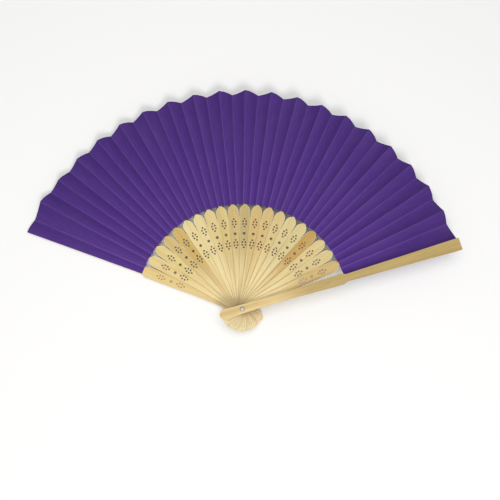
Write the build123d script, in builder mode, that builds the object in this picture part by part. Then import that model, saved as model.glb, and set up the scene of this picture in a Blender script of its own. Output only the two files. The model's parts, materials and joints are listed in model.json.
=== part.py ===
from build123d import *
import os
from math import asin, cos, degrees, radians, sin, tan

os.makedirs("parts", exist_ok=True)

# Pleated folding fan, lying open on its back. Millimetres, +Z up, angles from +X towards +Y.
# The rivet's axis is vertical, and the middle of the open fan points along +Y.
PIVOT_Y = -85.5  # the rivet's place, which puts the origin under the middle of the open fan

# Spread of the sticks, from the front guard on top at the right to the back guard at the left
RIB_COUNT = 19
BACK_GUARD = RIB_COUNT + 1  # the sticks are numbered from the front guard, which is 0
FRONT_GUARD_ANGLE = 19.2
FIRST_STEP = 8.45  # front guard to the first rib
MIDDLE_STEP = 6.88  # between ribs in the middle of the fan
END_STEP = 7.23  # between ribs next to the guards, where the leaf is pulled wider

# Heights of the stack on the rivet
BACK_FLARE = 0.8  # degrees that the back guard's blade leans away from the ribs
FRONT_FLARE = 1.3
FLARE_START = 12.0  # distance from the rivet where the guards start to lean
GUARD_LENGTH = 190.0
GUARD_THICK = 2.3
RIB_THICK = 0.5
RIB_GAP = 0.24
PITCH = RIB_THICK + RIB_GAP
GUARD_FLOOR = (GUARD_LENGTH - FLARE_START) * tan(radians(BACK_FLARE))  # back guard's hub above z = 0
BACK_INNER = GUARD_FLOOR + GUARD_THICK
FRONT_INNER = BACK_INNER + RIB_GAP + RIB_COUNT * PITCH

# Plan of a stick, as distances from the rivet and half widths
RIB_TAIL = 18.0
GUARD_TAIL = 19.0
TAIL_HALF = 4.2
TAIL_END = 4.8  # length of the rounding at the tail
HUB_HALF = 3.65
WAIST_AT, WAIST_HALF = 33.0, 3.35
PETAL_AT, PETAL_HALF = 82.4, 4.6
STUB_AT, STUB_HALF = 88.2, 1.4
STUB_TURN = degrees(asin(STUB_HALF / PETAL_HALF))  # where the petal's rounded end meets the stub
PETAL_END = (STUB_AT - PETAL_AT) / cos(radians(STUB_TURN))
GUARD_PETAL_AT, GUARD_NECK_AT = 86.0, 90.0
GUARD_NECK_HALF, GUARD_TIP_HALF = 3.1, 5.25
TIP_CORNER = 0.6

# Pierced pattern along each rib's petal
FLOWER_AT = (73.0, 55.2)
FLOWER_END, FLOWER_SIDE_ALONG, FLOWER_SIDE_ACROSS = 3.3, 1.2, 1.3
FLOWER_HOLE = 0.65
HEART_AT = 63.9
HEART_LOBE = 0.62
HEART_LENGTH = 1.9
DENT_DEPTH = 0.5

# Strip that carries the leaf, turned to lie flat behind its panel of the leaf
STRIP_THICK = 0.4
STRIP_HALF, STRIP_TIP_HALF = 1.4, 1.4
TWIST_END = 99.0
STRIP_END = 184.0
GLUE = 0.1

# Pleated leaf: each rib carries a panel that rises from a valley to a ridge
LEAF_INNER = 88.9
RIDGE_OUTER, VALLEY_OUTER = 189.0, 186.4
# How much further the leaf reaches on the ribs next to the guards, where it is pulled wider
RIDGE_REACH = {1: 0.5, 2: 1.1, 3: 0.6, 18: 0.3, 19: 2.7}
VALLEY_REACH = {1: 2.2, 2: 2.0, 3: 1.3, 4: 0.6, 17: 1.0, 18: 1.5, 19: 3.5}
VALLEY_OFFSET, RIDGE_OFFSET = -2.5, 1.0  # degrees from a rib's middle
GUARD_PANEL_OFFSET = 1.6
BACK_EDGE_OFFSET = 1.95  # the leaf's last edge, just past the back guard's own
BACK_VALLEY_OUTER, BACK_EDGE_OUTER = 190.2, 192.0
LEAF_LIFT = 0.8  # how far the leaf's cone starts above the middle of its rib
FOLD_SLOPE = 0.0122  # rise of a ridge, and fall of a valley, for each mm from the rivet
LEAF_THICK = 0.15
SEAM = 0.1  # degrees between one pleat's piece and the next

# Rivet
PIN_RADIUS = 1.2
BORE_RADIUS = 1.26
HEAD_RADIUS = 2.05
HEAD_HEIGHT = 1.0
HEAD_RIM = 0.3
HEAD_CLEAR = 0.02
DOME_RADIUS = (HEAD_RADIUS**2 + (HEAD_HEIGHT - HEAD_RIM) ** 2) / (2 * (HEAD_HEIGHT - HEAD_RIM))
DOME_TURN = degrees(asin(HEAD_RADIUS / DOME_RADIUS))


def step_to(stick):
    """Angle from the stick before to this one."""
    if stick == 1:
        return FIRST_STEP
    middle = (BACK_GUARD + 2) / 2
    spread = ((stick - middle) / (BACK_GUARD - middle)) ** 2
    return MIDDLE_STEP + (END_STEP - MIDDLE_STEP) * spread


def stick_angle(stick):
    return FRONT_GUARD_ANGLE + sum(step_to(nearer) for nearer in range(1, stick + 1))


def rib_bottom(rib):
    return FRONT_INNER - rib * PITCH


def ray_point(angle, distance, height):
    return Vector(distance * cos(radians(angle)), PIVOT_Y + distance * sin(radians(angle)), height)


def stick_plane(angle, height):
    """Plane at a height on the rivet's axis, with its x axis along the stick."""
    along = Vector(cos(radians(angle)), sin(radians(angle)), 0)
    return Plane(origin=(0, PIVOT_Y, height), x_dir=along, z_dir=(0, 0, 1))


def stick_side(tail, petal_at):
    """Left side of a stick in plan, from the middle of its tail to the widest part of its petal."""
    EllipticalCenterArc((TAIL_END - tail, 0), TAIL_END, TAIL_HALF, 90, arc_size=90)
    ThreePointArc((TAIL_END - tail, TAIL_HALF), (0, HUB_HALF), (WAIST_AT, WAIST_HALF))
    Spline(
        (WAIST_AT, WAIST_HALF),
        ((WAIST_AT + petal_at) / 2, (WAIST_HALF + PETAL_HALF) / 2),
        (petal_at, PETAL_HALF),
        tangents=((1, 0.005), (1, 0)),
    )


def pierced_pattern():
    """Two six-hole flowers with a heart between them, in a stick's own plan."""
    for middle in FLOWER_AT:
        with Locations((middle - FLOWER_END, 0), (middle + FLOWER_END, 0)):
            Circle(FLOWER_HOLE)
        with Locations((middle, 0)):
            with GridLocations(2 * FLOWER_SIDE_ALONG, 2 * FLOWER_SIDE_ACROSS, 2, 2):
                Circle(FLOWER_HOLE)
    with Locations((HEART_AT + 0.3, HEART_LOBE * 0.8), (HEART_AT + 0.3, -HEART_LOBE * 0.8)):
        Circle(HEART_LOBE)
    Polygon(
        (HEART_AT + 0.2, HEART_LOBE * 1.75),
        (HEART_AT + 0.2, -HEART_LOBE * 1.75),
        (HEART_AT + 0.9 - HEART_LENGTH, 0),
        align=None,
    )


# Ribs: a flat pierced petal on the rivet, and a narrow strip behind the leaf
PANEL_ANGLE = RIDGE_OFFSET - VALLEY_OFFSET
PANEL_TILT = 2 * FOLD_SLOPE / radians(PANEL_ANGLE)  # cross slope of a rib's panel
MIDDLE_SLOPE = -FOLD_SLOPE * (RIDGE_OFFSET + VALLEY_OFFSET) / PANEL_ANGLE  # rise along the rib


def strip_section(rib, distance):
    """Plane across a rib's strip, lying behind the leaf's panel there."""
    angle = radians(stick_angle(rib))
    along = Vector(cos(angle), sin(angle), 0)
    across = Vector(-sin(angle), cos(angle), PANEL_TILT)
    middle = rib_bottom(rib) + RIB_THICK / 2 + LEAF_LIFT + MIDDLE_SLOPE * distance
    middle -= LEAF_THICK + GLUE + STRIP_THICK / 2
    return Plane(origin=ray_point(stick_angle(rib), distance, middle), x_dir=across, z_dir=along)


for number in range(1, RIB_COUNT + 1):
    plane = stick_plane(stick_angle(number), rib_bottom(number))
    with BuildPart() as rib:
        with BuildSketch(plane):
            with BuildLine():
                stick_side(RIB_TAIL, PETAL_AT)
                EllipticalCenterArc((PETAL_AT, 0), PETAL_END, PETAL_HALF, 90, arc_size=STUB_TURN - 90)
                Line((STUB_AT, STUB_HALF), (STUB_AT, 0))
                mirror(about=Plane.XZ)
            make_face()
        extrude(amount=RIB_THICK, clean=False)
        stub = Plane(
            origin=ray_point(stick_angle(number), STUB_AT, rib_bottom(number) + RIB_THICK / 2),
            x_dir=plane.y_dir,
            z_dir=plane.x_dir,
        )
        with BuildSketch(stub):
            Rectangle(2 * STUB_HALF, RIB_THICK)
        with BuildSketch(strip_section(number, TWIST_END)):
            Rectangle(2 * STRIP_HALF, STRIP_THICK)
        loft(ruled=True, clean=False)
        with BuildSketch(strip_section(number, TWIST_END)):
            Rectangle(2 * STRIP_HALF, STRIP_THICK)
        with BuildSketch(strip_section(number, STRIP_END)):
            Rectangle(2 * STRIP_TIP_HALF, STRIP_THICK)
        loft(ruled=True, clean=False)
        with BuildSketch(plane):
            Circle(BORE_RADIUS)
            pierced_pattern()
        extrude(amount=RIB_THICK, mode=Mode.SUBTRACT, clean=False)
    rib.part.label = f"rib_{number:02d}"
    export_step(rib.part, f"parts/{rib.part.label}.step")


# Guards: thick end sticks, cut in plan from a blade whose side leans away from the ribs
def guard_side_profile(inner, lean, thick):
    """Side of a guard: level over the rivet and leaning from FLARE_START. Signs say which way."""
    rise = lean * (GUARD_LENGTH + 1 - FLARE_START)
    Polyline(
        (-GUARD_TAIL - 1, inner),
        (FLARE_START, inner),
        (GUARD_LENGTH + 1, inner + rise),
        (GUARD_LENGTH + 1, inner + rise + thick),
        (FLARE_START, inner + thick),
        (-GUARD_TAIL - 1, inner + thick),
        close=True,
    )


GUARDS = {
    "front_guard": (stick_angle(0), FRONT_INNER, tan(radians(FRONT_FLARE)), GUARD_THICK),
    "back_guard": (stick_angle(BACK_GUARD), BACK_INNER, -tan(radians(BACK_FLARE)), -GUARD_THICK),
}
for name, (angle, inner, lean, thick) in GUARDS.items():
    plane = stick_plane(angle, 0)
    side_plane = Plane(origin=plane.origin, x_dir=plane.x_dir, z_dir=-plane.y_dir)
    with BuildPart() as guard:
        with BuildSketch(plane):
            with BuildLine():
                stick_side(GUARD_TAIL, GUARD_PETAL_AT)
                Line((GUARD_PETAL_AT, PETAL_HALF), (GUARD_NECK_AT, GUARD_NECK_HALF))
                Line((GUARD_NECK_AT, GUARD_NECK_HALF), (GUARD_LENGTH - TIP_CORNER, GUARD_TIP_HALF))
                Line(
                    (GUARD_LENGTH - TIP_CORNER, GUARD_TIP_HALF),
                    (GUARD_LENGTH, GUARD_TIP_HALF - TIP_CORNER),
                )
                Line((GUARD_LENGTH, GUARD_TIP_HALF - TIP_CORNER), (GUARD_LENGTH, 0))
                mirror(about=Plane.XZ)
            make_face()
        extrude(amount=FRONT_INNER + 4 * GUARD_THICK, clean=False)
        with BuildSketch(side_plane):
            with BuildLine():
                guard_side_profile(inner, lean, thick)
            make_face()
        extrude(amount=TAIL_HALF * 2, both=True, mode=Mode.INTERSECT, clean=False)
        with BuildSketch(plane):
            Circle(BORE_RADIUS)
        extrude(amount=FRONT_INNER + 4 * GUARD_THICK, mode=Mode.SUBTRACT, clean=False)
        if name == "back_guard":
            lean_start = plane.from_local_coords(Vector(FLARE_START, 0, inner))
            face_along = Vector(plane.x_dir.X, plane.x_dir.Y, lean)
            inner_face = Plane(
                origin=lean_start - face_along * FLARE_START,
                x_dir=face_along,
                z_dir=face_along.cross(plane.y_dir),
            )
            with BuildSketch(inner_face):
                pierced_pattern()
            extrude(amount=-DENT_DEPTH, mode=Mode.SUBTRACT, clean=False)
    guard.part.label = name
    export_step(guard.part, f"parts/{name}.step")


# Leaf: one pleat on each stick, folded up at the ridge and meeting the next pleat in a valley
def fold_line(angle, hub_height, slope, outer):
    """Inner and outer end of a straight fold that climbs by slope for each mm from the rivet."""
    return [ray_point(angle, r, hub_height + slope * r) for r in (LEAF_INNER, outer)]


def panel_outline(first_fold, second_fold):
    """Plane of a panel between two folds, and its corners in that plane."""
    start, end = first_fold
    along = end - start
    across = (second_fold[0] + second_fold[1]) / 2 - start
    plane = Plane(origin=start, x_dir=along, z_dir=along.cross(across))
    corners = [plane.to_local_coords(p) for p in (start, end, second_fold[1], second_fold[0])]
    return plane, [(c.X, c.Y) for c in corners]


def valley(number, side):
    """Valley fold on the clockwise side of a rib. side moves it half a seam into one pleat."""
    apex = rib_bottom(number) + RIB_THICK / 2 + LEAF_LIFT
    angle = stick_angle(number) + VALLEY_OFFSET + side * SEAM / 2
    return fold_line(angle, apex, -FOLD_SLOPE, VALLEY_OUTER + VALLEY_REACH.get(number, 0))


def ridge(number):
    apex = rib_bottom(number) + RIB_THICK / 2 + LEAF_LIFT
    outer = RIDGE_OUTER + RIDGE_REACH.get(number, 0)
    return fold_line(stick_angle(number) + RIDGE_OFFSET, apex, FOLD_SLOPE, outer)


def guard_fold(guard_name, offset, outer):
    """Edge of the leaf's panel that lies on a guard's inner face."""
    angle, inner, lean, thick = GUARDS[guard_name]
    clear = GLUE if thick < 0 else -GLUE
    lift = LEAF_THICK if thick < 0 else 0.0
    return fold_line(angle + offset, inner - lean * FLARE_START + clear + lift, lean, outer)


def leaf_folds(number):
    """The fold lines of one stick's pleat, from its clockwise edge to its anticlockwise edge."""
    if number == 0:
        edge = guard_fold("front_guard", -GUARD_PANEL_OFFSET, VALLEY_OUTER)
        return [edge, guard_fold("front_guard", GUARD_PANEL_OFFSET, RIDGE_OUTER), valley(1, -1)]
    if number == BACK_GUARD:
        edge = guard_fold("back_guard", BACK_EDGE_OFFSET, BACK_EDGE_OUTER)
        return [guard_fold("back_guard", SEAM / 2 - GUARD_PANEL_OFFSET, BACK_VALLEY_OUTER), edge]
    if number == RIB_COUNT:
        last = guard_fold("back_guard", -SEAM / 2 - GUARD_PANEL_OFFSET, BACK_VALLEY_OUTER)
    else:
        last = valley(number + 1, -1)
    return [valley(number, 1), ridge(number), last]


for number in range(BACK_GUARD + 1):
    folds = leaf_folds(number)
    with BuildPart() as pleat:
        for first_fold, second_fold in zip(folds, folds[1:]):
            plane, corners = panel_outline(first_fold, second_fold)
            with BuildSketch(plane):
                Polygon(*corners, align=None)
            extrude(amount=-LEAF_THICK)
    pleat.part.label = f"leaf_{number:02d}"
    export_step(pleat.part, f"parts/{pleat.part.label}.step")


# Rivet: a pin with a domed head on the front guard, and a domed cap on the back guard
def dome():
    """Half outline of a domed head, with its base on the plane's x axis and its middle on the y."""
    Line((0, 0), (HEAD_RADIUS, 0))
    Line((HEAD_RADIUS, 0), (HEAD_RADIUS, HEAD_RIM))
    CenterArc((0, HEAD_HEIGHT - DOME_RADIUS), DOME_RADIUS, 90 - DOME_TURN, arc_size=DOME_TURN)
    Line((0, HEAD_HEIGHT), (0, 0))


RIVET_AXIS = Axis((0, PIVOT_Y, 0), (0, 0, 1))
HEAD_BASE = FRONT_INNER + GUARD_THICK + HEAD_CLEAR
CAP_BASE = GUARD_FLOOR - HEAD_CLEAR
with BuildPart() as rivet_pin:
    with BuildSketch(Plane(origin=(0, PIVOT_Y, HEAD_BASE), x_dir=(1, 0, 0), z_dir=(0, -1, 0))):
        with BuildLine():
            dome()
        make_face()
    revolve(axis=RIVET_AXIS)
    with BuildSketch(Plane(origin=(0, PIVOT_Y, CAP_BASE))):
        Circle(PIN_RADIUS)
    extrude(amount=HEAD_BASE - CAP_BASE)
rivet_pin.part.label = "rivet_pin"
export_step(rivet_pin.part, "parts/rivet_pin.step")

with BuildPart() as rivet_cap:
    with BuildSketch(Plane(origin=(0, PIVOT_Y, CAP_BASE), x_dir=(1, 0, 0), z_dir=(0, 1, 0))):
        with BuildLine():
            dome()
        make_face()
    revolve(axis=RIVET_AXIS)
rivet_cap.part.label = "rivet_cap"
export_step(rivet_cap.part, "parts/rivet_cap.step")
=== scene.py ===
import json
import math

import bpy
import numpy as np
from mathutils import Matrix, Vector, noise


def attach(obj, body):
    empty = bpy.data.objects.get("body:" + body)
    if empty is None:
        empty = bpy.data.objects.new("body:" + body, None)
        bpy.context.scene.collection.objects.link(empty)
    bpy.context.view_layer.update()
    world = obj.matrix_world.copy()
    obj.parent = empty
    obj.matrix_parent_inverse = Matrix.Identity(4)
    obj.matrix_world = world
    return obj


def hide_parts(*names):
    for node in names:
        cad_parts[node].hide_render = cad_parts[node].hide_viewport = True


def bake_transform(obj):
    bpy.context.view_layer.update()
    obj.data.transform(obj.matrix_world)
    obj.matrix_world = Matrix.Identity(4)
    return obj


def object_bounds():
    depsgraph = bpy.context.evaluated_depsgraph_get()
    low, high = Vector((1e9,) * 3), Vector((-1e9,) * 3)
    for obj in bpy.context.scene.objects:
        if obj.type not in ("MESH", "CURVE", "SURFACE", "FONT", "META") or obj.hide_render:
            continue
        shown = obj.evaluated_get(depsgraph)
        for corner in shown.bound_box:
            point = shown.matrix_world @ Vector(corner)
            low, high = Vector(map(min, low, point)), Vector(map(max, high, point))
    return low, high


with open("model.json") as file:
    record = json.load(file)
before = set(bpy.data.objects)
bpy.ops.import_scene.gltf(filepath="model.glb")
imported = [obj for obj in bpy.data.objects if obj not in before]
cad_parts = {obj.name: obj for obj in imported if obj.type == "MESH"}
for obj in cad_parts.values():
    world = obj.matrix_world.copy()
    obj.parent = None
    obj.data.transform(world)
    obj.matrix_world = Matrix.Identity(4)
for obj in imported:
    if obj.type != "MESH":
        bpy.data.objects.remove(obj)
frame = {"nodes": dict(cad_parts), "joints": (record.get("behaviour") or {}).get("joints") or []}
cad_low, cad_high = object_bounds()

MM = 0.001
bpy.context.scene.view_settings.view_transform = "Standard"

# ---------------------------------------------------------------- sizes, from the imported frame
RIBS = 19
BACK = RIBS + 1  # sticks are numbered from the front guard, 0, to the back guard
PIVOT = Vector(frame["joints"][0]["pos_m"])
TIP_DEPTH = 1.2 * MM  # the stretch of a stick that counts as its far end
HUB_RADIUS = 8 * MM  # the sticks are flat this near to the rivet


def node_points(node):
    return np.array([v.co for v in frame["nodes"][node].data.vertices], float)


def stick_node(number):
    return {0: "front_guard", BACK: "back_guard"}.get(number, f"rib_{number:02d}")


def stick_angle(number):
    """Direction of a stick in plan, in radians: that of the middle of its far end."""
    plan = node_points(stick_node(number))[:, :2] - np.array(PIVOT[:2])
    far = np.hypot(*plan.T)
    end = plan[far > far.max() - TIP_DEPTH]
    middle = (end.min(0) + end.max(0)) / 2
    return math.atan2(middle[1], middle[0])


def hub_heights(number):
    """Lowest and highest point of a stick where it is flat round the rivet."""
    points = node_points(stick_node(number))
    near = np.hypot(points[:, 0] - PIVOT.x, points[:, 1] - PIVOT.y) < HUB_RADIUS
    return points[near, 2].min(), points[near, 2].max()


ANGLE = [stick_angle(n) for n in range(BACK + 1)]
HUB = [hub_heights(n) for n in range(BACK + 1)]

# ---------------------------------------------------------------- camera and light
CAMERA_AT = Vector((-18.25, -101.60, 500.10)) * MM
CAMERA_TO = Vector((4.61, -35.54, 12.00)) * MM
CAMERA_ROLL = math.radians(2.53)
FOCAL_PER_WIDTH = 587.25 / 500
SENSOR_WIDTH = 36
SKY_COLOUR, SKY_STRENGTH = (0.97, 0.98, 1.0, 1), 0.36


def aim(at, to, roll=0.0):
    """Matrix of an object at one point that looks at another, turned by roll from upright."""
    forward = (to - at).normalized()
    right = forward.cross(Vector((0, 1, 0))).normalized()
    up = right.cross(forward)
    x = right * math.cos(roll) + up * math.sin(roll)
    y = up * math.cos(roll) - right * math.sin(roll)
    turn = Matrix((x, y, -forward)).transposed().to_4x4()
    return Matrix.Translation(at) @ turn


def link(obj):
    bpy.context.scene.collection.objects.link(obj)
    return obj


def soft_light(name, at, size, energy, colour):
    """A round lamp that points at the middle of the fan."""
    light = bpy.data.lights.new(name, "AREA")
    light.shape, light.size, light.energy, light.color = "DISK", size, energy, colour
    lamp = link(bpy.data.objects.new(name, light))
    lamp.matrix_world = aim(Vector(at), Vector((0, 0, 0)))


lens = bpy.data.cameras.new("camera")
lens.sensor_width = SENSOR_WIDTH
lens.lens = FOCAL_PER_WIDTH * SENSOR_WIDTH
lens.clip_start, lens.clip_end = 0.01, 20
camera = link(bpy.data.objects.new("camera", lens))
camera.matrix_world = aim(CAMERA_AT, CAMERA_TO, CAMERA_ROLL)
bpy.context.scene.camera = camera

soft_light("fill", at=(-0.10, 0.05, 1.35), size=1.1, energy=9.0, colour=(1.0, 0.99, 0.97))
soft_light("key", at=(0.22, -0.92, 1.15), size=0.55, energy=8.5, colour=(1.0, 0.985, 0.95))

world = bpy.data.worlds.new("studio")
bpy.context.scene.world = world
world.use_nodes = True
world.node_tree.nodes["Background"].inputs["Color"].default_value = SKY_COLOUR
world.node_tree.nodes["Background"].inputs["Strength"].default_value = SKY_STRENGTH


# ---------------------------------------------------------------- building materials
def rgb(red, green, blue):
    """Linear colour from an sRGB one of 0 to 255."""
    shares = [c / 255 for c in (red, green, blue)]
    return tuple(c / 12.92 if c < 0.04045 else ((c + 0.055) / 1.055) ** 2.4 for c in shares) + (1.0,)


def tinted(colour, factors):
    """A linear colour with its red, green and blue multiplied."""
    return tuple(min(1.0, c * f) for c, f in zip(colour, factors)) + (1.0,)


class Shader:
    """A material's node tree, built by calls that take and return sockets."""

    def __init__(self, name, **sockets):
        self.material = bpy.data.materials.new(name)
        self.material.use_nodes = True
        self.tree = self.material.node_tree
        self.surface = self.tree.nodes["Principled BSDF"]
        for socket, value in sockets.items():
            self.set(socket.replace("_", " "), value)

    def set(self, socket, value):
        self.feed(self.surface.inputs[socket], value)

    def feed(self, socket, value):
        if isinstance(value, bpy.types.NodeSocket):
            self.tree.links.new(value, socket)
        else:
            socket.default_value = value

    def add(self, kind, *values, out=0, **settings):
        """One output, by number or name, of a new node with these inputs and settings."""
        node = self.tree.nodes.new("ShaderNode" + kind)
        for name, value in settings.items():
            setattr(node, name, value)
        for socket, value in zip(node.inputs, values):
            self.feed(socket, value)
        return node.outputs[out]

    def math(self, operation, a, b=0.0):
        return self.add("Math", a, b, operation=operation)

    def length(self, a, b):
        """Length of the vector (a, b)."""
        squares = [self.math("MULTIPLY", v, v) for v in (a, b)]
        return self.math("SQRT", self.math("ADD", *squares))

    def fade(self, value, start, end, first=0.0, last=1.0):
        """A share carried smoothly from first, where value is start, to last, where it is end."""
        return self.add("MapRange", value, start, end, first, last, interpolation_type="SMOOTHSTEP")

    def mix(self, share, a, b):
        return self.add("MixRGB", share, a, b)

    def stain(self, colour, other, pattern, start, end, most):
        """colour, mixed with other by up to most as the pattern goes from start to end."""
        return self.mix(self.fade(pattern, start, end, 0.0, most), colour, other)

    def noise(self, vector, sizes, detail=2.0, rough=0.5):
        """Noise whose features are about so many mm along each axis, from 0 to 1."""
        scales = tuple(1 / (size * MM) for size in sizes)
        node = self.tree.nodes.new("ShaderNodeTexNoise")
        self.feed(node.inputs["Vector"], self.add("VectorMath", vector, scales, operation="MULTIPLY"))
        node.inputs["Scale"].default_value = 1.0
        node.inputs["Detail"].default_value = detail
        node.inputs["Roughness"].default_value = rough
        return node.outputs[0]

    def split(self, vector):
        node = self.tree.nodes.new("ShaderNodeSeparateXYZ")
        self.feed(node.inputs[0], vector)
        return node.outputs

    def bump(self, height, distance, strength=1.0):
        node = self.tree.nodes.new("ShaderNodeBump")
        node.inputs["Strength"].default_value = strength
        node.inputs["Distance"].default_value = distance
        self.feed(node.inputs["Height"], height)
        self.set("Normal", node.outputs[0])


# ---------------------------------------------------------------- bamboo
# Colour of each stick's petal, from the front guard to the back guard
STICK_TONES = [
    (184, 160, 100), (203, 174, 110), (211, 190, 132), (216, 196, 138), (194, 156, 80),
    (212, 196, 138), (214, 197, 142), (212, 189, 128), (209, 180, 118), (205, 178, 113),
    (190, 169, 113), (202, 179, 118), (212, 193, 127), (217, 196, 135), (222, 204, 146),
    (223, 205, 144), (201, 170, 92), (206, 179, 113), (221, 201, 133), (224, 200, 137),
    (225, 199, 133),
]
HUB_TONE, GUARD_HUB_TONE, TAIL_TONE = rgb(235, 214, 158), rgb(225, 198, 138), rgb(234, 217, 172)
# Painted colours: shadow along the edges of a rib's lower part, and a highlight on its petal's rim
EDGE_SHADOW_TONE, PETAL_HIGHLIGHT_TONE = rgb(128, 94, 50), rgb(236, 224, 180)
# Painted shade for a stick's side faces, then the burnt colour of its hole edges
SIDE_SHADE_TONE, BURNT_TONE = rgb(120, 86, 44), rgb(104, 58, 28)
DEEPER, PALER, DARKER = (0.80, 0.68, 0.50), (1.12, 1.16, 1.25), (0.5, 0.5, 0.5)

# Features of the grain along a stick, across it and upwards, in mm
BANDS, STREAKS, FIBRES = (70, 3.2, 9), (34, 0.75, 1.6), (9, 0.22, 0.5)
SEED_STEP = (0.37, 0.11, 0.23)  # sets the grain of each stick apart from the next one's
GRAIN_DEPTH = 0.05 * MM

# Distances from the rivet along a stick between which one look gives way to another
HUB_FADE, TAIL_FADE = (26 * MM, 62 * MM), (-4 * MM, -12 * MM)
# Where the painted shadow on a rib's edges and the painted highlight on its petal's rim begin and end
EDGE_SHADOW_FADE, PETAL_HIGHLIGHT_FADE, PETAL_HIGHLIGHT_END_FADE = (62 * MM, 40 * MM), (58 * MM, 70 * MM), (89 * MM, 88 * MM)

# A rib's outline: half its width at the waist and the petal, more at the tail, and a round end
WAIST_AT, WAIST_HALF = 33 * MM, 3.38 * MM
PETAL_AT, PETAL_HALF = 82 * MM, 4.62 * MM
TAIL_START, TAIL_END, TAIL_EXTRA = 6 * MM, -13 * MM, 0.78 * MM
ROUND_START, ROUND_SQUASH = 82.4 * MM, 0.72
EDGE_FADE = (0.55 * MM, 0.10 * MM)

# The pierced pattern, in mm from the rivet: two flowers of six holes, with a heart between them
FLOWERS = (73.0, 55.2)
FLOWER_END, FLOWER_ALONG, FLOWER_ACROSS, HOLE = 3.3, 1.2, 1.3, 0.65
HEART, HEART_REACH = 63.75, 1.05
BURN_FADE = (0.30 * MM, -0.02 * MM)
RIB_SCORCH, BACK_SCORCH = 0.85, 0.45

GUARD_ROUNDING, RIB_ROUNDING = 0.35 * MM, 0.11 * MM
ROUNDED_FROM = math.radians(50)
SAME_POINT = 0.002 * MM


def hole_distance(shader, x, y):
    """Distance in metres past the edge of the nearest hole of the pierced pattern, in a stick's plan."""
    side = shader.math("ABSOLUTE", y)

    def from_point(along, px, py, radius):
        dx = shader.math("SUBTRACT", along, px * MM)
        dy = shader.math("SUBTRACT", side, py * MM)
        return shader.math("SUBTRACT", shader.length(dx, dy), radius * MM)

    nearest = from_point(x, HEART, 0, HEART_REACH)
    for flower in FLOWERS:
        along = shader.math("ABSOLUTE", shader.math("SUBTRACT", x, flower * MM))
        for px, py in ((FLOWER_END, 0), (FLOWER_ALONG, FLOWER_ACROSS)):
            nearest = shader.math("MINIMUM", nearest, from_point(along, px, py, HOLE))
    return nearest


def edge_distance(shader, x, y):
    """Distance in metres inside the outline of a rib, in the stick's plan."""
    body = shader.fade(x, WAIST_AT, PETAL_AT, WAIST_HALF, PETAL_HALF)
    half = shader.math("ADD", body, shader.fade(x, TAIL_START, TAIL_END, 0.0, TAIL_EXTRA))
    past = shader.math("MAXIMUM", shader.math("SUBTRACT", x, ROUND_START), 0.0)
    end = shader.math("MULTIPLY", past, ROUND_SQUASH)
    return shader.math("SUBTRACT", half, shader.length(shader.math("ABSOLUTE", y), end))


def stick_place(shader, angle):
    """The place in a stick's own axes: along it from the rivet, across it and up."""
    turn = Matrix.Rotation(-angle, 3, "Z")
    place = shader.tree.nodes.new("ShaderNodeMapping")
    shader.feed(place.inputs["Vector"], shader.add("TexCoord", out="Object"))
    place.inputs["Location"].default_value = -(turn @ Vector((PIVOT.x, PIVOT.y, 0)))
    place.inputs["Rotation"].default_value = (0, 0, -angle)
    return place.outputs[0]


def rib_edge_shadow_and_highlight(shader, colour, x, y):
    """Painted shadow along the edges of a rib's lower part, where the sticks overlap, and a painted
    highlight on the rim of its petal.
    """
    edge = shader.fade(edge_distance(shader, x, y), *EDGE_FADE)
    # painted shadow on the edges, where the sticks overlap, fading out before the petal
    dark = shader.math("MULTIPLY", edge, shader.fade(x, *EDGE_SHADOW_FADE, 0.0, 0.50))
    colour = shader.mix(dark, colour, EDGE_SHADOW_TONE)
    # painted highlight along the petal's rim
    rim = shader.math("MULTIPLY", shader.fade(x, *PETAL_HIGHLIGHT_FADE), shader.fade(x, *PETAL_HIGHLIGHT_END_FADE))
    pale = shader.math("MULTIPLY", shader.math("MULTIPLY", edge, rim), 0.55)
    return shader.mix(pale, colour, PETAL_HIGHLIGHT_TONE)


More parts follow.
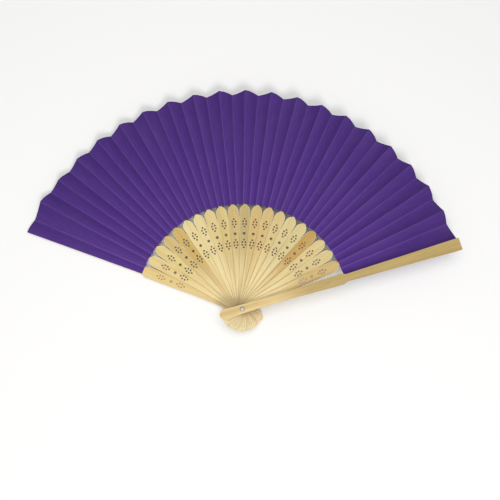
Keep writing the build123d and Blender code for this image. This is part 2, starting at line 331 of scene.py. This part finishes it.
def bamboo(number):
    """Split bamboo along one stick: pale, streaked, with short dark fibres and burnt hole edges, and
    painted shade and highlights at its edges and sides.
    """
    guard = number in (0, BACK)
    kind = "guard_bamboo" if guard else "rib_bamboo"
    shader = Shader(f"{kind}_{number:02d}", IOR=1.45)
    stick = stick_place(shader, ANGLE[number])
    x, y, _ = shader.split(stick)
    shift = tuple((number + 1) * step for step in SEED_STEP)
    seeded = shader.add("VectorMath", stick, shift, operation="ADD")
    band = shader.noise(seeded, BANDS)
    streak = shader.noise(seeded, STREAKS, detail=3.0, rough=0.6)
    fibre = shader.noise(seeded, FIBRES, rough=0.55)

    tone = rgb(*STICK_TONES[number])
    deep = tinted(tone, DEEPER)
    colour = shader.mix(shader.fade(x, *HUB_FADE), GUARD_HUB_TONE if guard else HUB_TONE, tone)
    if not guard:
        colour = shader.mix(shader.fade(x, *TAIL_FADE), colour, TAIL_TONE)
    colour = shader.stain(colour, deep, band, start=0.35, end=0.75, most=0.55)
    colour = shader.stain(colour, tinted(tone, PALER), streak, start=0.48, end=0.78, most=0.60)
    colour = shader.stain(colour, deep, streak, start=0.46, end=0.22, most=0.50)
    colour = shader.stain(colour, tinted(deep, DARKER), fibre, start=0.58, end=0.74, most=0.42)
    if not guard:
        # painted shadow and painted highlight at a rib's edges
        colour = rib_edge_shadow_and_highlight(shader, colour, x, y)
    # painted shade: faces that turn sideways are darkened
    upright = shader.math("ABSOLUTE", shader.split(shader.add("NewGeometry", out="Normal"))[2])
    colour = shader.stain(colour, SIDE_SHADE_TONE, upright, start=0.75, end=0.3, most=0.25 if guard else 0.55)
    if number != 0:
        past = hole_distance(shader, x, y)
        scorch = BACK_SCORCH if guard else RIB_SCORCH
        colour = shader.mix(shader.fade(past, *BURN_FADE, first=0.0, last=scorch), colour, BURNT_TONE)

    shader.set("Base Color", colour)
    shader.set("Roughness", shader.fade(streak, 0.2, 0.8, first=0.42, last=0.60))
    grain = shader.math("ADD", shader.math("MULTIPLY", streak, 0.6), shader.math("MULTIPLY", fibre, 0.4))
    shader.bump(grain, GRAIN_DEPTH, strength=0.7)
    return shader.material


def dress(obj, material):
    """Give a CAD node one material in place of its own."""
    obj.data.materials.clear()
    obj.data.materials.append(material)


def round_edges(stick, width):
    """Round off a stick's edges, once the points that its faces share are joined."""
    weld = stick.modifiers.new("weld", "WELD")
    weld.merge_threshold = SAME_POINT
    bevel = stick.modifiers.new("rounded_edges", "BEVEL")
    bevel.width = width
    bevel.segments = 2
    bevel.limit_method = "ANGLE"
    bevel.angle_limit = ROUNDED_FROM


for number in range(BACK + 1):
    stick = frame["nodes"][stick_node(number)]
    dress(stick, bamboo(number))
    round_edges(stick, GUARD_ROUNDING if number in (0, BACK) else RIB_ROUNDING)

# ---------------------------------------------------------------- the rivet
# The middle's colour is a painted highlight; the ring and grime are the metal's own
RIVET_HIGHLIGHT_TONE, RIVET_RING, RIVET_GRIME = rgb(206, 200, 194), rgb(188, 177, 166), rgb(140, 131, 120)
RING_FADE = (0.5 * MM, 1.35 * MM)
RIVET_WAVE, RIVET_WAVE_DEPTH = 0.9 * MM, 0.03 * MM
GRIME_SPOTS = (0.5, 0.5, 0.5)


def rivet_metal():
    """Rolled nickel rivet: a dull ring round a paler middle, which is a painted highlight on its dome.
    """
    shader = Shader("rivet_metal", Metallic=0.55)
    place = shader.add("TexCoord", out="Object")
    x, y, _ = shader.split(place)
    out = shader.length(shader.math("SUBTRACT", x, PIVOT.x), shader.math("SUBTRACT", y, PIVOT.y))
    grime = shader.noise(place, GRIME_SPOTS, detail=3.0)
    # painted highlight: the middle is paler, fading out to the ring's colour
    colour = shader.mix(shader.fade(out, *RING_FADE), RIVET_HIGHLIGHT_TONE, RIVET_RING)
    shader.set("Base Color", shader.stain(colour, RIVET_GRIME, grime, start=0.45, end=0.75, most=0.4))
    shader.set("Roughness", shader.fade(grime, 0.2, 0.8, first=0.42, last=0.6))
    wave = shader.math("SINE", shader.math("MULTIPLY", out, 2 * math.pi / RIVET_WAVE))
    uneven = shader.math("ADD", shader.math("MULTIPLY", wave, 0.5), shader.math("MULTIPLY", grime, 0.3))
    shader.bump(uneven, RIVET_WAVE_DEPTH)
    return shader.material


METAL = rivet_metal()
for node in ("rivet_pin", "rivet_cap"):
    dress(frame["nodes"][node], METAL)

# ---------------------------------------------------------------- the leaf's folds
LEAF_INNER = 88.9 * MM
RIDGE_OUTER, VALLEY_OUTER = 189.0 * MM, 186.4 * MM
# How much further the leaf reaches on the ribs next to the guards, in mm
RIDGE_REACH = {1: 0.5, 2: 1.1, 3: 0.6, 18: 0.3, 19: 2.7}
VALLEY_REACH = {1: 2.2, 2: 2.0, 3: 1.3, 4: 0.6, 17: 1.0, 18: 1.5, 19: 3.5}
BACK_VALLEY_OUTER, BACK_EDGE_OUTER = 190.2 * MM, 192.0 * MM
# The angle from a stick to each of its folds
VALLEY_OFFSET, RIDGE_OFFSET = math.radians(-2.5), math.radians(1.0)
GUARD_OFFSET, BACK_EDGE_OFFSET = math.radians(1.6), math.radians(1.95)
LEAF_LIFT = 0.8 * MM  # of the leaf over the middle of its rib's thickness
FOLD_SLOPE = 0.0122  # rise of a ridge, and fall of a valley, over the distance from the rivet
FLARE_START = 12 * MM  # the guards lean away from the stack from here on
FRONT_LEAN, BACK_LEAN = math.tan(math.radians(1.3)), -math.tan(math.radians(0.8))
LEAF_THICK, GLUE = 0.15 * MM, 0.1 * MM
# A fold wanders by up to this much from its straight line, with so many waves in a metre
WANDER_ANGLE, ANGLE_WAVES = math.radians(0.16), 22
WANDER_HEIGHT, HEIGHT_WAVES = 0.16 * MM, 18
INNER_WANDER = 0.25  # share of it at the leaf's inner edge


class Fold:
    """A straight fold of the leaf: a direction in plan, a height on the rivet's axis, and a slope."""

    def __init__(self, key, angle, height, slope, outer, loose=1.0):
        self.key, self.angle, self.height, self.slope, self.outer = key, angle, height, slope, outer
        self.loose = loose

    def at(self, radius):
        """Direction and height of the fold at a distance from the rivet, with its slight wander."""
        reach = (radius - LEAF_INNER) / (self.outer - LEAF_INNER)
        sway = noise.noise(Vector((self.key * 3.7, radius * ANGLE_WAVES, 0.5)))
        lift = noise.noise(Vector((self.key * 5.3, radius * HEIGHT_WAVES, 7.5)))
        free = self.loose * min(1.0, INNER_WANDER + reach)
        return (
            self.angle + WANDER_ANGLE * sway * free,
            self.height + self.slope * radius + WANDER_HEIGHT * lift * free,
        )


def apex(number):
    """Height on the rivet's axis where the folds of a rib's pleat meet."""
    return (HUB[number][0] + HUB[number][1]) / 2 + LEAF_LIFT


def valley(number):
    outer = VALLEY_OUTER + VALLEY_REACH.get(number, 0) * MM
    return Fold(2 * number, ANGLE[number] + VALLEY_OFFSET, apex(number), -FOLD_SLOPE, outer)


def ridge(number):
    outer = RIDGE_OUTER + RIDGE_REACH.get(number, 0) * MM
    return Fold(2 * number + 1, ANGLE[number] + RIDGE_OFFSET, apex(number), FOLD_SLOPE, outer)


def guard_fold(number, offset, outer):
    """A fold or an edge of the leaf that is glued to the inner face of a guard."""
    if number == 0:
        height, slope = HUB[0][0] - FRONT_LEAN * FLARE_START - GLUE, FRONT_LEAN
    else:
        height, slope = HUB[BACK][1] - BACK_LEAN * FLARE_START + GLUE + LEAF_THICK, BACK_LEAN
    return Fold(number, ANGLE[number] + offset, height, slope, outer, loose=0.0)


def leaf_folds(number):
    """The folds of one stick's pleat, anticlockwise."""
    if number == 0:
        edge = guard_fold(0, -GUARD_OFFSET, VALLEY_OUTER)
        return [edge, guard_fold(0, GUARD_OFFSET, RIDGE_OUTER), valley(1)]
    if number == BACK:
        edge = guard_fold(BACK, BACK_EDGE_OFFSET, BACK_EDGE_OUTER)
        return [guard_fold(BACK, -GUARD_OFFSET, BACK_VALLEY_OUTER), edge]
    after = guard_fold(BACK, -GUARD_OFFSET, BACK_VALLEY_OUTER) if number == RIBS else valley(number + 1)
    return [valley(number), ridge(number), after]


# ---------------------------------------------------------------- the leaf's pleats
STIFF_ACROSS = (0.0, 0.34, 0.67, 1.0)  # columns of a panel that stays on its stick
FREE_ACROSS = (0.0, 1.0)  # a panel between two sticks keeps none inside, so it stays flat as it folds
ALONG = 12
FINER = 3
RISE_POWER, FALL_POWER, RIM_POWER = 1.3, 1.6, 1.7  # how steeply a curve starts from its first fold
RAGGED = 0.3 * MM
RAMP_STEPS = 8
UNMOVED = 0.5  # the grey of the curve texture that leaves a point in place
PLEAT_HEIGHT = 2 * FOLD_SLOPE * RIDGE_OUTER  # of a ridge over a valley, at the rim


def sag(share, power):
    """How far past its flat line a panel is, as a share of its height, when it starts steeply."""
    return 1 - (1 - share) ** power - share


def pleat_columns(number):
    """Columns of a pleat's grid, each as its panel and its place across that, from 0 to 1."""
    stiff = [(0, share) for share in STIFF_ACROSS]
    free = [(1, share) for share in FREE_ACROSS[1:]]
    return stiff if number == BACK else stiff + free


def pleat_grid(number, columns):
    """Points of a pleat, row by row from its inner edge, their distances to the rim and their swell."""
    folds = leaf_folds(number)
    points, to_rim, swell = [], [], []
    for row in range(ALONG + 1):
        for panel, share in columns:
            first, second = folds[panel], folds[panel + 1]
            outer = first.outer + (second.outer - first.outer) * (share + sag(share, RIM_POWER))
            ragged = noise.noise(Vector((number * 2.3 + panel, share * 3.1, 3.3)))
            outer += RAGGED * ragged * math.sin(math.pi * share)
            radius = LEAF_INNER + (outer - LEAF_INNER) * row / ALONG
            (a0, z0), (a1, z1) = first.at(radius), second.at(radius)
            angle = a0 + (a1 - a0) * share
            points.append((
                PIVOT.x + radius * math.cos(angle),
                PIVOT.y + radius * math.sin(angle),
                z0 + (z1 - z0) * share,
            ))
            to_rim.append(outer - radius)
            glued = number == BACK or (number == 0 and panel == 0)
            swell.append(0.0 if glued else radius / RIDGE_OUTER)
    return points, to_rim, swell


def mark_sharp(mesh, columns):
    """Shade a pleat's panels apart: its border and its ridge are sharp edges."""
    wide = len(columns)
    for edge in mesh.edges:
        (row, column), (other_row, other_column) = (divmod(v, wide) for v in edge.vertices)
        along_fold = column == other_column and (column in (0, wide - 1) or columns[column] == (0, 1.0))
        edge.use_edge_sharp = along_fold or (row == other_row and row in (0, ALONG))


def pleat_mesh(number):
    """One pleat as a grid, and how much each of its points swells.

    The UV map "pleat" holds the place across a panel, from 0 to 1, and the distance from the rivet.
    The UV map "curve" holds the place across the whole pleat.
    """
    columns = pleat_columns(number)
    wide = len(columns)
    points, to_rim, swell = pleat_grid(number, columns)
    faces, places, curve = [], [], []
    for row in range(ALONG):
        for before, after in zip(range(wide), range(1, wide)):
            panel = columns[after][0]
            corners = ((row, before), (row + 1, before), (row + 1, after), (row, after))
            faces.append([corner_row * wide + column for corner_row, column in corners])
            for point, (_, column) in zip(faces[-1], corners):
                own_panel, share = columns[column]
                share = share if own_panel == panel else 0.0
                x, y, _ = points[point]
                places += (share, math.hypot(x - PIVOT.x, y - PIVOT.y))
                curve += ((panel + share) / 2, 0.5)
    mesh = bpy.data.meshes.new(f"leaf_pleat_{number:02d}")
    mesh.from_pydata(points, [], faces)
    mesh.uv_layers.new(name="pleat").data.foreach_set("uv", places)
    mesh.uv_layers.new(name="curve").data.foreach_set("uv", curve)
    tone = 0.5 + 0.5 * noise.noise(Vector((number * 4.1, 1.5, 2.5)))
    for name, values in (("to_rim", to_rim), ("tone", [tone] * len(points))):
        mesh.attributes.new(name, "FLOAT", "POINT").data.foreach_set("value", values)
    mesh.shade_smooth()
    mark_sharp(mesh, columns)
    mesh.update()
    return mesh, swell


def curve_texture():
    """Across a pleat: its first panel swells up from the flat, and its second sinks below it."""
    texture = bpy.data.textures.new("panel_curve", "BLEND")
    texture.use_color_ramp = True
    ramp = texture.color_ramp
    while len(ramp.elements) > 1:
        ramp.elements.remove(ramp.elements[-1])
    places = [(panel, i / RAMP_STEPS) for panel in (0, 1) for i in range(RAMP_STEPS)] + [(1, 1.0)]
    for i, (panel, share) in enumerate(places):
        height = -sag(share, FALL_POWER) if panel else sag(share, RISE_POWER)
        at = (panel + share) / 2
        element = ramp.elements[0] if i == 0 else ramp.elements.new(at)
        element.position = at
        element.color = (UNMOVED + height,) * 3 + (1.0,)
    return texture


CURVE = curve_texture()

# ---------------------------------------------------------------- the leaf's cloth
INNER_TONE, OUTER_TONE = rgb(83, 48, 138), rgb(70, 40, 119)
# The last of these is painted shade, laid across each panel
DULL_TONE, FADED_TONE, PAINTED_SHADE_TONE = rgb(72, 46, 118), rgb(88, 60, 128), rgb(56, 32, 100)
THREAD_TONE, WEFT_TONE = rgb(103, 74, 151), rgb(60, 38, 102)
FOLD_TONE, CUT_RIM_TONE = rgb(134, 104, 176), rgb(50, 32, 78)
SHEEN_TONE = rgb(150, 120, 200)

# Features of the cloth across a panel, along it and between pleats, in mm
DULL_SPOTS, FADED_SPOTS, WORN_SPOTS = (3.5, 12, 9), (14, 40, 9), (5, 3.0, 9)
THREADS, WEFT = (0.28, 9.0, 9), (6.0, 0.30, 9)
PANEL_PER_RADIUS = 0.0611  # a panel's width as a share of its distance from the rivet
PLEAT_SHIFT = 7.0  # sets the patterns of the pleats apart
LEAF_FADE, FOLD_LINE_FADE = (88 * MM, 186 * MM), (90 * MM, 186 * MM)
FOLD_LINE, CUT_RIM = (0.75 * MM, 0.05 * MM), (0.9 * MM, 0.3 * MM)
WEAVE_DEPTH = 0.05 * MM


def leaf_cloth():
    """Thin purple cloth-backed paper: fine radial threads, pale worn folds, a darker cut rim, and
    painted shade across each panel from its first fold.
    """
    shader = Shader(
        "leaf_cloth",
        Roughness=0.82,
        IOR=1.4,
        Specular_IOR_Level=0.25,
        Sheen_Weight=0.12,
        Sheen_Roughness=0.4,
        Sheen_Tint=SHEEN_TONE,
    )
    share, radius, _ = shader.split(shader.add("UVMap", uv_map="pleat"))
    rim = shader.add("Attribute", out="Fac", attribute_name="to_rim")
    tone = shader.add("Attribute", out="Fac", attribute_name="tone")
    width = shader.math("MULTIPLY", radius, PANEL_PER_RADIUS)
    after = shader.math("MULTIPLY", share, width)
    before = shader.math("SUBTRACT", width, after)
    cloth = shader.add("CombineXYZ", after, radius, shader.math("MULTIPLY", tone, PLEAT_SHIFT))
    dull = shader.noise(cloth, DULL_SPOTS, detail=3.0, rough=0.6)
    faded = shader.noise(cloth, FADED_SPOTS)
    thread = shader.noise(cloth, THREADS, rough=0.6)
    weft = shader.noise(cloth, WEFT, rough=0.6)
    worn = shader.noise(cloth, WORN_SPOTS, detail=3.0, rough=0.6)

    colour = shader.mix(shader.fade(radius, *LEAF_FADE), INNER_TONE, OUTER_TONE)
    colour = shader.stain(colour, DULL_TONE, dull, start=0.3, end=0.7, most=0.38)
    colour = shader.stain(colour, FADED_TONE, faded, start=0.35, end=0.7, most=0.30)
    colour = shader.stain(colour, THREAD_TONE, thread, start=0.35, end=0.72, most=0.32)
    colour = shader.stain(colour, WEFT_TONE, weft, start=0.40, end=0.75, most=0.22)
    # painted shade: each panel is darkest along its first fold, fading out across it
    colour = shader.mix(shader.fade(share, 0.0, 0.95, first=0.42, last=0.0), colour, PAINTED_SHADE_TONE)
    line = shader.math(
        "MULTIPLY",
        shader.fade(shader.math("MINIMUM", after, before), *FOLD_LINE),
        shader.fade(worn, 0.25, 0.7, first=0.45, last=1.0),
    )
    line = shader.math("MULTIPLY", line, shader.fade(radius, *FOLD_LINE_FADE, first=0.36, last=0.20))
    colour = shader.mix(line, colour, FOLD_TONE)
    cut = shader.fade(rim, *CUT_RIM, first=0.0, last=0.75)
    shader.set("Base Color", shader.mix(cut, colour, CUT_RIM_TONE))
    weave = shader.math("ADD", shader.math("MULTIPLY", thread, 0.6), shader.math("MULTIPLY", weft, 0.4))
    shader.bump(weave, WEAVE_DEPTH, strength=0.6)
    return shader.material


CLOTH = leaf_cloth()


def curve_and_thicken(pleat):
    """Refine the grid, curve its panels by the swell of its points, and give it the leaf's thickness."""
    finer = pleat.modifiers.new("finer", "SUBSURF")
    finer.subdivision_type = "SIMPLE"
    finer.levels = finer.render_levels = FINER
    curved = pleat.modifiers.new("curve", "DISPLACE")
    curved.texture = CURVE
    curved.texture_coords = "UV"
    curved.uv_layer = "curve"
    curved.vertex_group = "swell"
    curved.mid_level = UNMOVED
    curved.strength = PLEAT_HEIGHT
    thick = pleat.modifiers.new("thickness", "SOLIDIFY")
    thick.thickness = LEAF_THICK
    thick.offset = -1


def inner_end(fold):
    """The point of a fold at the leaf's inner edge."""
    angle, height = fold.at(LEAF_INNER)
    reach = Vector((math.cos(angle), math.sin(angle), 0)) * LEAF_INNER
    return PIVOT.x + reach.x, PIVOT.y + reach.y, height


for number in range(BACK + 1):
    mesh, swell = pleat_mesh(number)
    mesh.materials.append(CLOTH)
    pleat = link(bpy.data.objects.new(f"leaf_pleat_{number:02d}", mesh))
    group = pleat.vertex_groups.new(name="swell")
    for vertex, weight in enumerate(swell):
        group.add([vertex], weight, "REPLACE")
    if number == BACK:
        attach(pleat, "back_guard")
    else:
        ends = [inner_end(fold) for fold in leaf_folds(number)[1:]]
        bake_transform(pleat)
    curve_and_thicken(pleat)
    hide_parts(f"leaf_{number:02d}")

# ---------------------------------------------------------------- floor
FLOOR_HALF = 4.0
FLOOR_GAP = 0.05 * MM
FLOOR_WHITE = 0.93

ground = bpy.data.meshes.new("floor")
ground.from_pydata(
    [(x * FLOOR_HALF, y * FLOOR_HALF, 0) for x, y in ((-1, -1), (1, -1), (1, 1), (-1, 1))],
    [],
    [(0, 1, 2, 3)],
)
floor = link(bpy.data.objects.new("floor", ground))
floor.location.z = cad_low[2] - FLOOR_GAP
paper = Shader("floor_paper", Roughness=0.9, Base_Color=(FLOOR_WHITE, FLOOR_WHITE, FLOOR_WHITE, 1))
ground.materials.append(paper.material)
